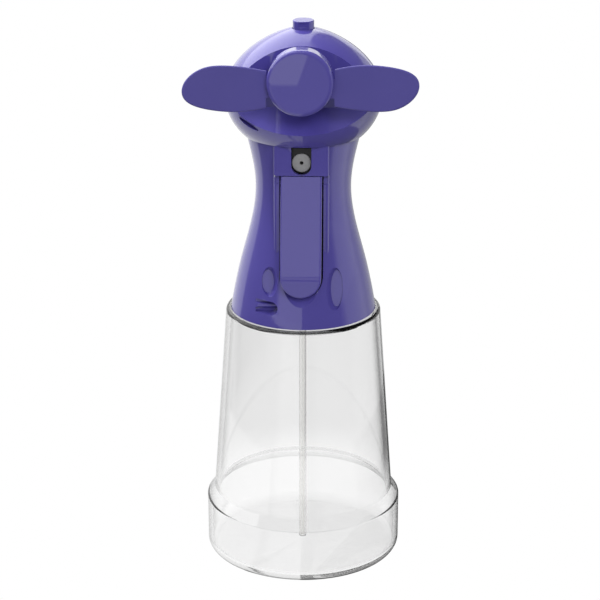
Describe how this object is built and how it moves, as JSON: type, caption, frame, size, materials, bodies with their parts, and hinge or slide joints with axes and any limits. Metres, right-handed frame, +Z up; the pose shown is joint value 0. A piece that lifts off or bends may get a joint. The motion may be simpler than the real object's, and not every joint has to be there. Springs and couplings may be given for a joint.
{
  "type": "handheld misting fan",
  "caption": "Hand-held misting fan: a clear water bottle with a trigger sprayer in a waisted neck and a soft-bladed battery fan on a domed head.",
  "frame": {"origin": "centre of the bottle's underside, at the resting surface", "axes": "+Z up along the bottle and neck, -Y towards the fan, nozzle and trigger (the front), +X to the viewer's right when facing the front"},
  "size_m": [0.101, 0.09, 0.2519],
  "materials": {
    "clear_plastic": "clear moulded bottle plastic, gloss",
    "grey_plastic": "moulded, satin",
    "seal_rubber": "moulded seal",
    "steel": "bright zinc plated",
    "purple_shell": "polished moulded plastic",
    "purple_hub": "polished moulded plastic",
    "soft_blade": "soft flexible sheet, satin",
    "white_plastic": "moulded, satin",
    "dark_plastic": "moulded, satin",
    "clear_hose": "milky soft tube",
    "cell_sleeve": "plain printed sleeve, unmarked",
    "motor_steel": "plated pressed can",
    "magnet_grey": "moulded ferrite, matt",
    "copper_winding": "lacquered winding",
    "lead_black": "soft insulation",
    "lead_red": "soft insulation"
  },
  "bodies": {
    "bottle": {"reservoir_bottle": "clear_plastic"},
    "handle": {"bottle_collar": "grey_plastic", "bottle_gasket": "seal_rubber", "collar_screws": "steel", "neck_front_shell": "purple_shell", "nozzle_bezel": "purple_shell", "neck_rear_shell": "purple_shell", "shell_screws": "steel", "trigger_pin": "steel", "pump_cylinder": "grey_plastic", "pump_cap": "grey_plastic", "piston_spring": "steel", "valve_balls": "steel", "dip_tube": "white_plastic", "nozzle_holder": "dark_plastic", "nozzle_insert": "grey_plastic", "nozzle_disc": "grey_plastic", "delivery_hose": "clear_hose", "battery_tray": "dark_plastic", "battery_cells": "cell_sleeve", "battery_contacts": "steel", "head_shell": "purple_shell", "head_base": "purple_shell", "head_screws": "steel", "switch_body": "dark_plastic", "motor_can": "motor_steel", "motor_magnets": "magnet_grey", "motor_end_cap": "white_plastic", "lead_negative": "lead_black", "lead_positive": "lead_red", "lead_switch": "lead_red"},
    "rotor": {"motor_shaft": "steel", "motor_armature": "copper_winding", "fan_hub": "purple_hub", "fan_blade_left": "soft_blade", "fan_blade_right": "soft_blade"},
    "piston_rod": {"piston": "white_plastic", "piston_seal": "seal_rubber"},
    "trigger_lever": {"trigger": "purple_shell"},
    "button": {"power_button": "purple_shell"},
    "door": {"battery_door": "purple_shell"}
  },
  "joints": [
    {"name": "handle_lift", "type": "slide", "parent": "bottle", "child": "handle", "axis": [0, 0, 1], "range_m": [0, 0.13]},
    {"name": "fan_spin", "type": "hinge", "parent": "handle", "child": "rotor", "pos_m": [0, -0.041, 0.2334], "axis": [0, -0.9976, 0.0698], "continuous": true},
    {"name": "trigger_pivot", "type": "hinge", "parent": "handle", "child": "trigger_lever", "pos_m": [0, -0.0208, 0.1845], "axis": [1, 0, 0], "range_deg": [0, 11], "stiffness_Nm_per_rad": 0.05, "springref_deg": -5.73},
    {"name": "piston_slide", "type": "slide", "parent": "handle", "child": "piston_rod", "axis": [0, 1, 0], "range_m": [0, 0.00665], "deforming": ["piston_spring"]},
    {"name": "button_press", "type": "slide", "parent": "handle", "child": "button", "axis": [0, 0, -1], "range_m": [0, 0.0015], "stiffness_N_per_m": 250},
    {"name": "door_pull", "type": "slide", "parent": "handle", "child": "door", "axis": [0, 1, 0], "range_m": [0, 0.04]}
  ],
  "couplings": [
    {"joint": "piston_slide", "follows": "trigger_pivot", "m_per_rad": 0.0345}
  ]
}
